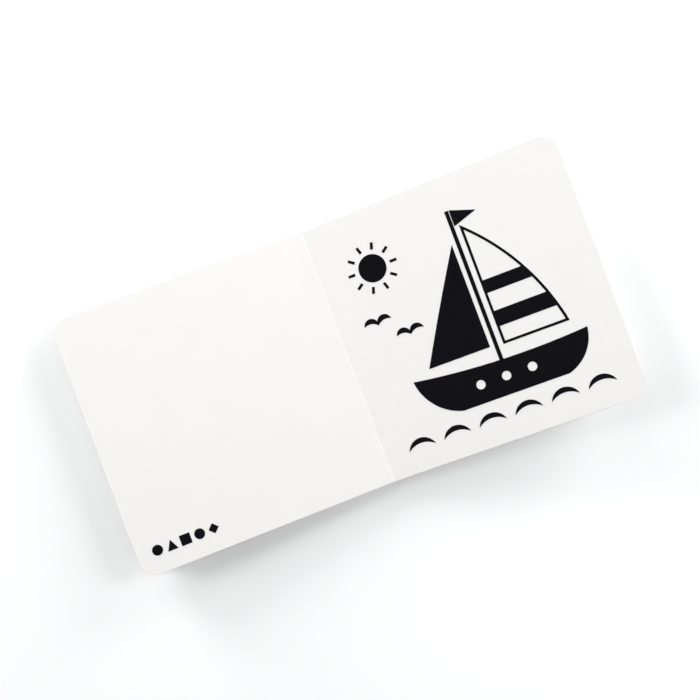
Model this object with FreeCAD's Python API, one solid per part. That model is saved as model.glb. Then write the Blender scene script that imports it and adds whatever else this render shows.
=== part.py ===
"""Board book lying open at its middle spread.

Lengths are millimetres and angles degrees. X runs across the spread, Y up the page and Z up.
The origin lies on the table, under the middle of the open book.
"""

import os
from math import cos, radians, sin

import FreeCAD, Part
from FreeCAD import Vector

os.makedirs("parts", exist_ok=True)

# Pages and covers
page_width = 149.0  # crease to fore edge
page_height = 152.0
corner_radius = 9.5
page_board = 2.0  # thickness of one page
cover_board = 2.0  # thickness of one cover
leaves_per_side = 3  # page boards between the middle spread and each cover
edge_softness = 0.3  # rounding of the cut edges that are seen and touched

# How the book lies open
left_tilt = 6.0  # rise of the left page away from the crease
right_tilt = 10.0
fan_angle = 1.0  # between one leaf and the next
bound_width = 5.0  # glued strip along the spine, where the leaves don't part
cover_gap = 0.3  # between a cover and the leaf above it, at the spine

# Crease and spine
crease_lift = 0.2  # the fold line lies this far above both page faces, so that closed pages clear the ink
page_setback = 0.5  # from the fold line to the cut edge of the pages
fold_drop = 0.15  # depth of the groove over the crease
fold_paper = 0.15
spine_paper = 0.35
loose_fit = 0.05  # between the left pages and the paper that bends beside them

# Print
ink_thickness = 0.1
picture_inner_margin = 12.0  # from the fold line
picture_outer_margin = 12.0
picture_top_margin = 12.0
picture_bottom_margin = 11.0
sail_border = 1.5
mast_width = 2.2
porthole_radius = 2.6
sun_radius = 8.0
ray_length = 4.0
ray_width = 1.6
ray_gap = 2.5
ray_count = 10
mark_side_margin = 9.0  # from the fore edge of the left page
mark_bottom_margin = 10.0
mark_size = 6.0
mark_pitch = 8.2

# The drawing, from the lower inner corner of a field of this size that is stretched to the printed field
drawing_width = 125.0
drawing_height = 129.0
DRAWING = {
    "hull bow": (18.0, 38.5),
    "hull bow bend": (25.0, 22.5),
    "hull keel front": (39.0, 14.0),
    "hull keel back": (100.5, 14.0),
    "hull stern bend": (113.0, 22.5),
    "hull stern": (118.0, 35.0),
    "hull deck": (65.5, 34.0),
    "portholes": [(53.0, 24.5), (68.0, 24.5), (83.0, 24.5)],
    "mast foot": (68.5, 33.5),
    "mast top": (68.5, 121.5),
    "main tack": (72.5, 41.5),
    "main head": (72.5, 112.0),
    "main leech": (97.0, 80.0),
    "main clew": (110.5, 41.5),
    "main bands": [(51.5, 60.5), (71.0, 78.5)],
    "jib clew": (65.0, 42.5),
    "jib head": (65.0, 103.0),
    "jib luff": (45.5, 71.0),
    "jib tack": (29.0, 42.5),
    "pennant bottom": (70.0, 112.0),
    "pennant tip": (84.0, 116.5),
    "pennant top": (70.0, 121.5),
    "sun": (19.0, 107.0),
    "gulls": [(11.0, 77.0), (26.5, 66.0)],
    "gull span, rise and dip": (16.0, 4.5, 1.5),
    "waves": [(2.0, 2.0), (23.0, 2.0), (44.0, 2.0), (65.0, 2.0), (86.0, 2.0), (107.0, 2.0)],
    "wave span, rise and thickness": (16.0, 6.0, 3.0),
}

RIGHT = 1
LEFT = -1
TILT = {RIGHT: right_tilt, LEFT: left_tilt}
UP = Vector(0, 0, 1)
Y_AXIS = Vector(0, 1, 0)
REACH = page_width + page_height  # longer than anything that it has to cut


def leaf_levels():
    """Heights of the leaf faces where the glued strip ends, from the spread down."""
    levels = [-crease_lift]
    for leaf in range(leaves_per_side):
        levels.append(levels[-1] - page_board / cos(radians(leaf * fan_angle)))
    return levels


# Places that follow from the sizes
stack_bottom = leaf_levels()[-1]
spine_face = page_setback - spine_paper  # outside of the spine paper, from the fold line
fold_top = -crease_lift - fold_drop
fold_bottom = fold_top - fold_paper


def drop(side):
    """How far the lowest inner corner of the pages hangs under the fold line."""
    angle = radians(TILT[side])
    return -stack_bottom * cos(angle) - page_setback * sin(angle)


def cover_start(side):
    """Distance from the fold line to the spine edge of a cover, level with the outside of the spine paper."""
    angle = radians(TILT[side])
    return spine_face * cos(angle) - stack_bottom * sin(angle)


crease = Vector(
    (cover_start(LEFT) - cover_start(RIGHT)) / 2,
    0,
    cover_board + cover_gap + max(drop(LEFT), drop(RIGHT)),
)


def tilted(shape, side):
    """A shape drawn on the flat spread, turned up about the fold line and set in place."""
    turned = shape.copy()
    turned.rotate(Vector(0, 0, 0), Y_AXIS, -side * TILT[side])
    turned.translate(crease)
    return turned


def tilted_point(side, out, up):
    """The same for one point of a cross-section."""
    angle = radians(TILT[side])
    across = out * cos(angle) - up * sin(angle)
    return (crease.x + side * across, crease.z + out * sin(angle) + up * cos(angle))


def prism(section):
    """A closed cross-section of X and Z points, run over the height of the page."""
    points = [Vector(x, -page_height / 2, z) for x, z in section]
    face = Part.Face(Part.makePolygon(points + points[:1]))
    return face.extrude(Y_AXIS * page_height)


def outline_block(side, inner, outer, low, high):
    """A block with the outline of a page: square at the spine, round at the two outer corners."""
    near = min(side * inner, side * outer)
    block = Part.makeBox(outer - inner, page_height, high - low, Vector(near, -page_height / 2, low))
    corners = [
        edge
        for edge in block.Edges
        if all(abs(vertex.X - side * outer) < loose_fit for vertex in edge.Vertexes)
        and abs(edge.Vertexes[1].Z - edge.Vertexes[0].Z) > loose_fit
    ]
    return block.makeFillet(corner_radius, corners)


def softened(shape, side, inner, on_face):
    """The cut edges of one face of a board rounded off, apart from the edge at the spine."""
    edges = [
        edge
        for edge in shape.Edges
        if all(on_face(vertex) for vertex in edge.Vertexes)
        and any(side * vertex.X > inner + loose_fit for vertex in edge.Vertexes)
    ]
    return shape.makeFillet(edge_softness, edges)


def cover(side):
    """One cover, flat on the table."""
    inner = cover_start(side)
    outer = inner + page_width - spine_face
    board = outline_block(side, inner, outer, 0, cover_board)
    board = softened(board, side, inner, lambda vertex: abs(vertex.Z) < loose_fit)
    board = softened(board, side, inner, lambda vertex: abs(vertex.Z - cover_board) < loose_fit)
    board.translate(Vector(crease.x, 0, 0))
    return board


def pages(side):
    """The leaves of one side: one block at the spine that fans out towards the fore edge."""
    levels = leaf_levels()
    section = [(page_setback, levels[0])]
    for leaf in range(leaves_per_side):
        fall = radians(leaf * fan_angle)
        for level in (levels[leaf], levels[leaf + 1]):
            section.append((REACH, level - (REACH - bound_width) * sin(fall) / cos(fall)))
        section.append((bound_width, levels[leaf + 1]))
    section.append((page_setback, stack_bottom))
    fan = prism([(side * out, up) for out, up in section])
    trim = outline_block(side, 0, page_width, -REACH, REACH)
    stack = fan.common(trim).Solids[0]
    stack = softened(stack, side, page_setback, lambda vertex: abs(vertex.Z - levels[0]) < loose_fit)
    return tilted(stack, side)


def gutter_fold():
    """The paper of the spread across the crease, a shallow groove between the two page edges."""
    top = [(RIGHT, page_setback), (RIGHT, 0), (LEFT, 0), (LEFT, page_setback - loose_fit)]
    section = [tilted_point(side, out, fold_top) for side, out in top]
    section += [tilted_point(side, out, fold_bottom) for side, out in reversed(top)]
    return prism(section)


def spine():
    """The spine paper, folded double between the spine edges of the two halves."""
    roof = fold_bottom - spine_paper
    section = [
        (RIGHT, 0, fold_bottom),
        (RIGHT, page_setback, fold_bottom),
        (RIGHT, page_setback, stack_bottom),
        (RIGHT, spine_face, stack_bottom),
        (RIGHT, spine_face, roof),
        (LEFT, spine_face, roof),
        (LEFT, spine_face, stack_bottom),
        (LEFT, page_setback - loose_fit, stack_bottom),
        (LEFT, page_setback - loose_fit, fold_bottom),
        (LEFT, 0, fold_bottom),
    ]
    return prism([tilted_point(*corner) for corner in section])


def field(point):
    """A point of the drawing on the flat right page."""
    width = page_width - picture_inner_margin - picture_outer_margin
    height = page_height - picture_top_margin - picture_bottom_margin
    across = picture_inner_margin + point[0] * width / drawing_width
    along = picture_bottom_margin - page_height / 2 + point[1] * height / drawing_height
    return Vector(across, along, -crease_lift)


def drawn(name):
    return field(DRAWING[name])


def line(start, end):
    return Part.LineSegment(drawn(start), drawn(end)).toShape()


def arc(start, middle, end):
    return Part.Arc(drawn(start), drawn(middle), drawn(end)).toShape()


def shape_of(edges):
    return Part.Face(Part.Wire(edges))


def polygon(points):
    return Part.Face(Part.makePolygon(points + points[:1]))


def disc(centre, radius):
    return Part.Face(Part.Wire(Part.makeCircle(radius, centre, UP)))


def hull():
    boat = shape_of(
        [
            arc("hull bow", "hull bow bend", "hull keel front"),
            line("hull keel front", "hull keel back"),
            arc("hull keel back", "hull stern bend", "hull stern"),
            arc("hull stern", "hull deck", "hull bow"),
        ]
    )
    for porthole in DRAWING["portholes"]:
        boat = boat.cut(disc(field(porthole), porthole_radius))
    return [boat]


def mast():
    half = Vector(mast_width / 2, 0, 0)
    foot = drawn("mast foot")
    top = drawn("mast top")
    return [polygon([foot - half, foot + half, top + half, top - half])]


def mainsail():
    """A white sail with a black border and black bands across it."""
    sail = shape_of(
        [
            line("main tack", "main head"),
            arc("main head", "main leech", "main clew"),
            line("main clew", "main tack"),
        ]
    )
    cloth = sail.makeOffset2D(-sail_border)
    fields = [sail.cut(cloth)]
    for low, high in DRAWING["main bands"]:
        corners = [(0, low), (drawing_width, low), (drawing_width, high), (0, high)]
        band = polygon([field(corner) for corner in corners])
        fields.append(band.common(cloth))
    return [face for part in fields for face in part.Faces]


def jib():
    luff = arc("jib head", "jib luff", "jib tack")
    return [shape_of([line("jib clew", "jib head"), luff, line("jib tack", "jib clew")])]


def pennant():
    return [polygon([drawn("pennant bottom"), drawn("pennant tip"), drawn("pennant top")])]


def sun():
    """A disc with a ring of short rays."""
    centre = drawn("sun")
    start = sun_radius + ray_gap
    half = ray_width / 2
    ray = [(start, -half), (start + ray_length, -half), (start + ray_length, half), (start, half)]
    faces = [disc(centre, sun_radius)]
    for number in range(ray_count):
        bar = polygon([centre + Vector(x, y, 0) for x, y in ray])
        bar.rotate(centre, UP, number * 360 / ray_count)
        faces.append(bar)
    return faces


def crescent(start, end, rise, inner_rise):
    """The field between two arcs over the same chord."""
    across = (start[0] + end[0]) / 2
    along = (start[1] + end[1]) / 2
    edges = []
    for height in (rise, inner_rise):
        crown = field((across, along + height))
        edges.append(Part.Arc(field(start), crown, field(end)).toShape())
    return shape_of(edges)


def gull(centre):
    """Two wings that meet in a point."""
    x, y = centre
    span, rise, dip = DRAWING["gull span, rise and dip"]
    wings = [(x - span / 2, y), (x, y - dip), (x + span / 2, y)]
    return [crescent(first, second, rise, dip) for first, second in zip(wings, wings[1:])]


def wave(start):
    x, y = start
    span, rise, thickness = DRAWING["wave span, rise and thickness"]
    return crescent(start, (x + span, y), rise, rise - thickness)


def printed_picture():
    faces = hull() + mast() + mainsail() + jib() + pennant() + sun()
    for centre in DRAWING["gulls"]:
        faces += gull(centre)
    faces += [wave(start) for start in DRAWING["waves"]]
    return ink(faces, RIGHT)


def printed_marks():
    """A row of plain shapes near the lower corner of the left page."""
    half = mark_size / 2
    side_edge = mark_side_margin - page_width
    foot = mark_bottom_margin - page_height / 2
    first = Vector(side_edge + half, foot + half, -crease_lift)
    square = [(-half, -half), (half, -half), (half, half), (-half, half)]
    triangle = [(-half, -half), (half, -half), (0, half)]
    diamond = [(0, -half), (half, 0), (0, half), (-half, 0)]
    faces = []
    for place, corners in enumerate([None, triangle, square, None, diamond]):
        centre = first + Vector(place * mark_pitch, 0, 0)
        if corners is None:
            faces.append(disc(centre, half))
        else:
            faces.append(polygon([centre + Vector(x, y, 0) for x, y in corners]))
    return ink(faces, LEFT)


def ink(faces, side):
    """Flat fields of ink on a page."""
    solids = [tilted(face.extrude(UP * ink_thickness), side) for face in faces]
    return Part.makeCompound(solids)


NODES = {
    "front_cover": cover(LEFT),
    "back_cover": cover(RIGHT),
    "left_pages": pages(LEFT),
    "right_pages": pages(RIGHT),
    "gutter_fold": gutter_fold(),
    "spine": spine(),
    "printed_picture": printed_picture(),
    "printed_marks": printed_marks(),
}

for name, shape in NODES.items():
    shape.exportStep(f"parts/{name}.step")
    print(f"{name}: valid {shape.isValid()}, solids {len(shape.Solids)}, volume {shape.Volume:.1f}")
print(f"fold line at x {crease.x:.4f}, z {crease.z:.4f}")
print(f"cover hinge lines at x {crease.x - cover_start(LEFT):.4f} and {crease.x + cover_start(RIGHT):.4f}")
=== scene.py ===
"""Looks of the open board book: white board, black ink, bent paper at crease and spine, and the studio."""

from math import cos, radians, sin

import bpy
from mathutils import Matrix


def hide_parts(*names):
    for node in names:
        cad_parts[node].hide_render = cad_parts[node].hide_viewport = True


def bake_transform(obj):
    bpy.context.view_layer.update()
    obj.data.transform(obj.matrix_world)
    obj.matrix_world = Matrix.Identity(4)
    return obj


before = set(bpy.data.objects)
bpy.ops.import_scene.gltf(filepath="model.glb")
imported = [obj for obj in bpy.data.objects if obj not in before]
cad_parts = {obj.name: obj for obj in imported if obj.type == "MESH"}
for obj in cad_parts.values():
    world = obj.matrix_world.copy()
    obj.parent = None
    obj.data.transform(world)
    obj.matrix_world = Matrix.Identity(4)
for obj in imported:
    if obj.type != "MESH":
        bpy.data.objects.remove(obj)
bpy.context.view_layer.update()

MM = 0.001

# The open book, as in the frame: places in millimetres, turns in degrees
CREASE_X = -0.2136
CREASE_Z = 8.4153
PAGE_HEIGHT = 152.0
RIGHT = 1
LEFT = -1
TILT = {RIGHT: 10.0, LEFT: 6.0}
FAN = 1.0
PAGE_SETBACK = 0.5
FOLD_TOP = -0.35
FOLD_PAPER = 0.15
SPINE_PAPER = 0.35
STACK_BOTTOM = -6.2012

# Camera: straight down, turned so that the book lies as in the photograph
CAMERA_PLACE = (2.3, 3.3, 521.1)
CAMERA_TURN = -20.6
LENS = 46.29
SENSOR = 36.0

# Light: soft boxes round the book. Each has its turn from the picture's right and its height in degrees,
# its side in metres and its power
BOXES = [
    (0, 32, 0.9, 3.2),
    (315, 60, 0.9, 4.9),
    (20, 42, 0.4, 5.2),
    (170, 42, 0.4, 4.6),
    (110, 42, 0.4, 1.2),
    (45, 16, 0.6, 10.8),
    (135, 16, 0.6, 15.0),
    (180, 16, 0.6, 4.1),
]
BOX_DISTANCE = 1.35
BOX_COLOUR = (1.0, 1.0, 1.0)

# Surroundings. The world lights the book faintly, and is seen as a pale backdrop into which the floor
# fades between two distances from its middle
WORLD_COLOUR = (1.0, 1.0, 1.0)
WORLD_STRENGTH = 0.01
WORLD_SEEN = 0.95
FLOOR_COLOUR = (0.8, 0.805, 0.81)
FLOOR_SEEN = (0.985, 0.995, 1.0)
FLOOR_ROUGHNESS = 0.9
FLOOR_SHEEN = 0.0
FLOOR_RADIUS = 1.2
FLOOR_FADE = (0.35, 0.65)
FLOOR_POINTS = 96
FLOOR_DROP = 0.05 * MM

# Surfaces, as linear colours
PAGE_COLOUR = (0.833, 0.827, 0.817)
PAGE_SHEEN = 0.05
PAGE_ROUGHNESS = 0.8
EDGE_COLOUR = (0.795, 0.78, 0.75)
EDGE_DARK = (0.67, 0.652, 0.62)
EDGE_ROUGHNESS = 0.85
FOLD_COLOUR = (0.95, 0.945, 0.935)
FOLD_ROUGHNESS = 0.8
INK_COLOUR = (0.0052, 0.0052, 0.0072)
INK_SHEEN = 0.02
INK_ROUGHNESS = 0.85

# How the board varies: the limits are where one look has given way to the other, scales are per metre
FACE_LIMITS = (0.35, 0.75)
MOTTLE_LIMITS = (0.3, 0.7)
MOTTLE_SHADE = 0.992
MOTTLE_SCALE = 60.0
MOTTLE_DETAIL = 3.0
FIBRE_LIMITS = (0.35, 0.7)
FIBRE_STRETCH = (250, 250, 3500)
FIBRE_SCALE = 1.0
FIBRE_DETAIL = 4.0
GRAIN_SCALE = 900.0
GRAIN_DETAIL = 2.0
GRAIN_STRENGTH = 0.08
GRAIN_DEPTH = 0.05 * MM

# Bent paper: the rows and steps of its mesh
STRIP_ROWS = 38
FOLD_STEPS = 6
SPINE_STEPS = 10
ROOF_STEPS = 8

# Places of the colour sockets on a Mix node, and the fourth channel of a colour
MIX_FIRST, MIX_SECOND, MIX_RESULT = 6, 7, 2
OPAQUE = 1.0


def put(node, values):
    """Sets a node's inputs by their names."""
    for name, value in values.items():
        node.inputs[name].default_value = value


class Nodes:
    """A short way to build the nodes of a material or of the world."""

    def __init__(self, owner, shader="Principled BSDF"):
        owner.use_nodes = True
        self.owner = owner
        self.tree = owner.node_tree
        self.surface = self.tree.nodes[shader]

    def add(self, kind, **settings):
        node = self.tree.nodes.new(kind)
        for key, value in settings.items():
            setattr(node, key, value)
        return node

    def link(self, source, target):
        self.tree.links.new(source, target)

    def math(self, operation, *sources):
        node = self.add("ShaderNodeMath", operation=operation)
        for source, socket in zip(sources, node.inputs):
            self.link(source, socket)
        return node.outputs[0]

    def dot(self, vector, direction):
        node = self.add("ShaderNodeVectorMath", operation="DOT_PRODUCT")
        self.link(vector, node.inputs[0])
        node.inputs[1].default_value = direction
        return node.outputs["Value"]

    def length(self, vector):
        node = self.add("ShaderNodeVectorMath", operation="LENGTH")
        self.link(vector, node.inputs[0])
        return node.outputs["Value"]

    def noise(self, coordinates, scale, detail):
        node = self.add("ShaderNodeTexNoise")
        put(node, {"Scale": scale, "Detail": detail})
        self.link(coordinates, node.inputs["Vector"])
        return node.outputs["Fac"]

    def mix(self, factor, first, second):
        """A colour between two, of which each is either fixed or comes from another node."""
        node = self.add("ShaderNodeMix", data_type="RGBA")
        self.link(factor, node.inputs["Factor"])
        for place, colour in ((MIX_FIRST, first), (MIX_SECOND, second)):
            if isinstance(colour, tuple):
                node.inputs[place].default_value = (*colour, OPAQUE)
            else:
                self.link(colour, node.inputs[place])
        return node.outputs[MIX_RESULT]

    def ramp(self, value, low, high):
        """A smooth step from 0 at the low value to 1 at the high one."""
        node = self.add("ShaderNodeMapRange", interpolation_type="SMOOTHSTEP")
        put(node, {"From Min": low, "From Max": high})
        self.link(value, node.inputs["Value"])
        return node.outputs["Result"]

    def bump(self, height, strength, distance):
        node = self.add("ShaderNodeBump")
        put(node, {"Strength": strength, "Distance": distance})
        self.link(height, node.inputs["Height"])
        self.link(node.outputs["Normal"], self.surface.inputs["Normal"])

    def backdrop_rays(self):
        """One for the rays that show the backdrop: the camera's, and those that gloss or glass sends on."""
        path = self.add("ShaderNodeLightPath")
        shown = path.outputs["Is Camera Ray"]
        for kind in ("Is Glossy Ray", "Is Transmission Ray"):
            shown = self.math("MAXIMUM", shown, path.outputs[kind])
        return shown

    def show_backdrop(self, factor, kind, output):
        """Where the factor is 1, the output shows the pale backdrop in place of the surface."""
        pale = self.add(kind)
        put(pale, {"Color": (*WORLD_COLOUR, OPAQUE), "Strength": WORLD_SEEN})
        choice = self.add("ShaderNodeMixShader")
        for source, socket in zip((factor, self.surface.outputs[0], pale.outputs[0]), choice.inputs):
            self.link(source, socket)
        self.link(choice.outputs[0], self.tree.nodes[output].inputs["Surface"])


def board_material(name, tilt, wrapped=None):
    """White board whose cut edges show the pressed pulp. Tilt is the turn about Y, in degrees.

    Wrapped is the direction that an edge wrapped in white paper faces.
    """
    nodes = Nodes(bpy.data.materials.new(name))
    place = nodes.add("ShaderNodeTexCoord")
    normal = place.outputs["Normal"]
    up = (-sin(radians(tilt)), 0, cos(radians(tilt)))
    is_face = nodes.ramp(nodes.math("ABSOLUTE", nodes.dot(normal, up)), *FACE_LIMITS)
    if wrapped:
        is_wrapped = nodes.ramp(nodes.dot(normal, wrapped), *FACE_LIMITS)
        is_face = nodes.math("MAXIMUM", is_face, is_wrapped)

    mottle = nodes.noise(place.outputs["Object"], MOTTLE_SCALE, MOTTLE_DETAIL)
    dim = tuple(channel * MOTTLE_SHADE for channel in PAGE_COLOUR)
    face = nodes.mix(nodes.ramp(mottle, *MOTTLE_LIMITS), dim, PAGE_COLOUR)

    stretch = nodes.add("ShaderNodeMapping")
    put(stretch, {"Rotation": (0, radians(tilt), 0), "Scale": FIBRE_STRETCH})
    nodes.link(place.outputs["Object"], stretch.inputs["Vector"])
    fibres = nodes.noise(stretch.outputs["Vector"], FIBRE_SCALE, FIBRE_DETAIL)
    edge = nodes.mix(nodes.ramp(fibres, *FIBRE_LIMITS), EDGE_DARK, EDGE_COLOUR)

    nodes.link(nodes.mix(is_face, edge, face), nodes.surface.inputs["Base Color"])
    rough = nodes.add("ShaderNodeMapRange")
    put(rough, {"To Min": EDGE_ROUGHNESS, "To Max": PAGE_ROUGHNESS})
    nodes.link(is_face, rough.inputs["Value"])
    nodes.link(rough.outputs["Result"], nodes.surface.inputs["Roughness"])
    put(nodes.surface, {"Specular IOR Level": PAGE_SHEEN})
    grain = nodes.noise(place.outputs["Object"], GRAIN_SCALE, GRAIN_DETAIL)
    nodes.bump(grain, GRAIN_STRENGTH, GRAIN_DEPTH)
    return nodes.owner


def plain_material(name, colour, roughness, sheen=PAGE_SHEEN):
    """A surface that is the same all over, such as ink or thin paper."""
    nodes = Nodes(bpy.data.materials.new(name))
    put(nodes.surface, {
        "Base Color": (*colour, OPAQUE),
        "Roughness": roughness,
        "Specular IOR Level": sheen,
    })
    return nodes.owner


def floor_material():
    """White floor that keeps the book's shadow and fades into the backdrop."""
    nodes = Nodes(bpy.data.materials.new("floor"))
    shown = nodes.backdrop_rays()
    nodes.link(nodes.mix(shown, FLOOR_COLOUR, FLOOR_SEEN), nodes.surface.inputs["Base Color"])
    put(nodes.surface, {"Roughness": FLOOR_ROUGHNESS, "Specular IOR Level": FLOOR_SHEEN})
    place = nodes.add("ShaderNodeTexCoord")
    is_far = nodes.ramp(nodes.length(place.outputs["Object"]), *FLOOR_FADE)
    nodes.show_backdrop(nodes.math("MULTIPLY", is_far, shown), "ShaderNodeEmission", "Material Output")
    return nodes.owner


def dress(obj, material):
    """The object gets this material and no other."""
    obj.data.materials.clear()
    obj.data.materials.append(material)


def add_to_scene(name, data):
    obj = bpy.data.objects.new(name, data)
    bpy.context.scene.collection.objects.link(obj)
    return obj


def place_on_side(side, out, up):
    """A point of a cross-section on one tilted half, in millimetres of the frame."""
    angle = radians(TILT[side])
    return (
        CREASE_X + side * (out * cos(angle) - up * sin(angle)),
        CREASE_Z + out * sin(angle) + up * cos(angle),
    )


def between(first, last, steps):
    """Points from the first to the last, an equal step apart."""
    return [
        (first[0] + (last[0] - first[0]) * step / steps, first[1] + (last[1] - first[1]) * step / steps)
        for step in range(steps + 1)
    ]


def crease_line(level):
    """Points from the right page's edge, down to the fold and up to the left page's edge, at one depth."""
    right = between(place_on_side(RIGHT, PAGE_SETBACK, level), place_on_side(RIGHT, 0, level), FOLD_STEPS)
    left = between(place_on_side(LEFT, 0, level), place_on_side(LEFT, PAGE_SETBACK, level), FOLD_STEPS)
    return right + left


def spine_line(out, roof):
    """Points up the right leg of the folded spine paper, over its roof and down the left leg."""
    right = between(place_on_side(RIGHT, out, STACK_BOTTOM), place_on_side(RIGHT, out, roof), SPINE_STEPS)
    left = between(place_on_side(LEFT, out, roof), place_on_side(LEFT, out, STACK_BOTTOM), SPINE_STEPS)
    top = between(right[-1], left[0], ROOF_STEPS)
    return right[:-1] + top + left[1:]


def strip(name, outer, inner, material):
    """A closed band of paper over the height of the page, between two lines of X and Z points."""
    ring = outer + inner[::-1]
    count = len(ring)
    points = []
    for row in range(STRIP_ROWS + 1):
        along = (row / STRIP_ROWS - 0.5) * PAGE_HEIGHT
        points += [(x * MM, along * MM, z * MM) for x, z in ring]
    faces = []
    for row in range(STRIP_ROWS):
        for index in range(count):
            after = (index + 1) % count
            low, high = row * count, (row + 1) * count
            faces.append((low + index, low + after, high + after, high + index))
    # Both ends are closed by quads between the two lines
    for row, turned in ((0, False), (STRIP_ROWS, True)):
        base = row * count
        for index in range(len(outer) - 1):
            quad = (base + index, base + count - 1 - index, base + count - 2 - index, base + index + 1)
            faces.append(quad[::-1] if turned else quad)
    mesh = bpy.data.meshes.new(name)
    mesh.from_pydata(points, [], faces)
    mesh.validate()
    obj = add_to_scene(name, mesh)
    dress(obj, material)
    return obj


def bend_with_the_fold(piece):
    """Writes the piece's place into its mesh, so that the piece stays where it is."""
    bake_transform(piece)


def add_soft_box(name, turn, height, side, power, aim):
    """A square lamp that faces the book from its turn and height."""
    data = bpy.data.lights.new(name, "AREA")
    data.shape = "SQUARE"
    data.size = side
    data.energy = power
    data.color = BOX_COLOUR
    box = add_to_scene(name, data)
    around = radians(turn + CAMERA_TURN)
    above = radians(height)
    box.location = (
        BOX_DISTANCE * cos(above) * cos(around),
        BOX_DISTANCE * cos(above) * sin(around),
        BOX_DISTANCE * sin(above),
    )
    tracking = box.constraints.new("TRACK_TO")
    tracking.target = aim
    tracking.track_axis = "TRACK_NEGATIVE_Z"
    tracking.up_axis = "UP_Y"


# Boards and print, as they come from the frame. A stack's board is tilted as its middle leaf is
ink = plain_material("black_ink", INK_COLOUR, INK_ROUGHNESS, INK_SHEEN)
looks = {
    "right_pages": board_material("right_page_board", -(TILT[RIGHT] - FAN)),
    "left_pages": board_material("left_page_board", TILT[LEFT] - FAN),
    "back_cover": board_material("back_cover_board", 0, (LEFT, 0, 0)),
    "front_cover": board_material("front_cover_board", 0, (RIGHT, 0, 0)),
    "printed_picture": ink,
    "printed_marks": ink,
}
for node, material in looks.items():
    dress(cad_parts[node], material)

# The paper of the spread across the crease
fold_paper = plain_material("fold_paper", FOLD_COLOUR, FOLD_ROUGHNESS)
groove = strip("gutter_paper", crease_line(FOLD_TOP), crease_line(FOLD_TOP - FOLD_PAPER), fold_paper)
bend_with_the_fold(groove)
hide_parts("gutter_fold")

# The spine paper, folded double under the crease, from its side glued to the pages to its bare side
spine_paper = plain_material("spine_paper", PAGE_COLOUR, PAGE_ROUGHNESS)
roof = FOLD_TOP - FOLD_PAPER
glued_side = spine_line(PAGE_SETBACK, roof)
bare_side = spine_line(PAGE_SETBACK - SPINE_PAPER, roof - SPINE_PAPER)
back = strip("spine_paper", glued_side, bare_side, spine_paper)
bend_with_the_fold(back)
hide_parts("spine")

# Floor and world
bpy.ops.mesh.primitive_circle_add(
    vertices=FLOOR_POINTS, radius=FLOOR_RADIUS, fill_type="NGON", location=(0, 0, -FLOOR_DROP)
)
floor = bpy.context.object
floor.name = "floor"
dress(floor, floor_material())

world = bpy.data.worlds.new("studio")
bpy.context.scene.world = world
sky = Nodes(world, "Background")
put(sky.surface, {"Color": (*WORLD_COLOUR, OPAQUE), "Strength": WORLD_STRENGTH})
sky.show_backdrop(sky.backdrop_rays(), "ShaderNodeBackground", "World Output")

# Lamps and camera
aim = add_to_scene("aim", None)
for number, (turn, height, side, power) in enumerate(BOXES):
    add_soft_box(f"box_{number}", turn, height, side, power, aim)

camera_data = bpy.data.cameras.new("camera")
camera_data.lens = LENS
camera_data.sensor_width = SENSOR
camera_data.sensor_fit = "HORIZONTAL"
camera = add_to_scene("camera", camera_data)
camera.location = tuple(value * MM for value in CAMERA_PLACE)
camera.rotation_euler = (0, 0, radians(CAMERA_TURN))
bpy.context.scene.camera = camera
bpy.context.scene.view_settings.view_transform = "Standard"
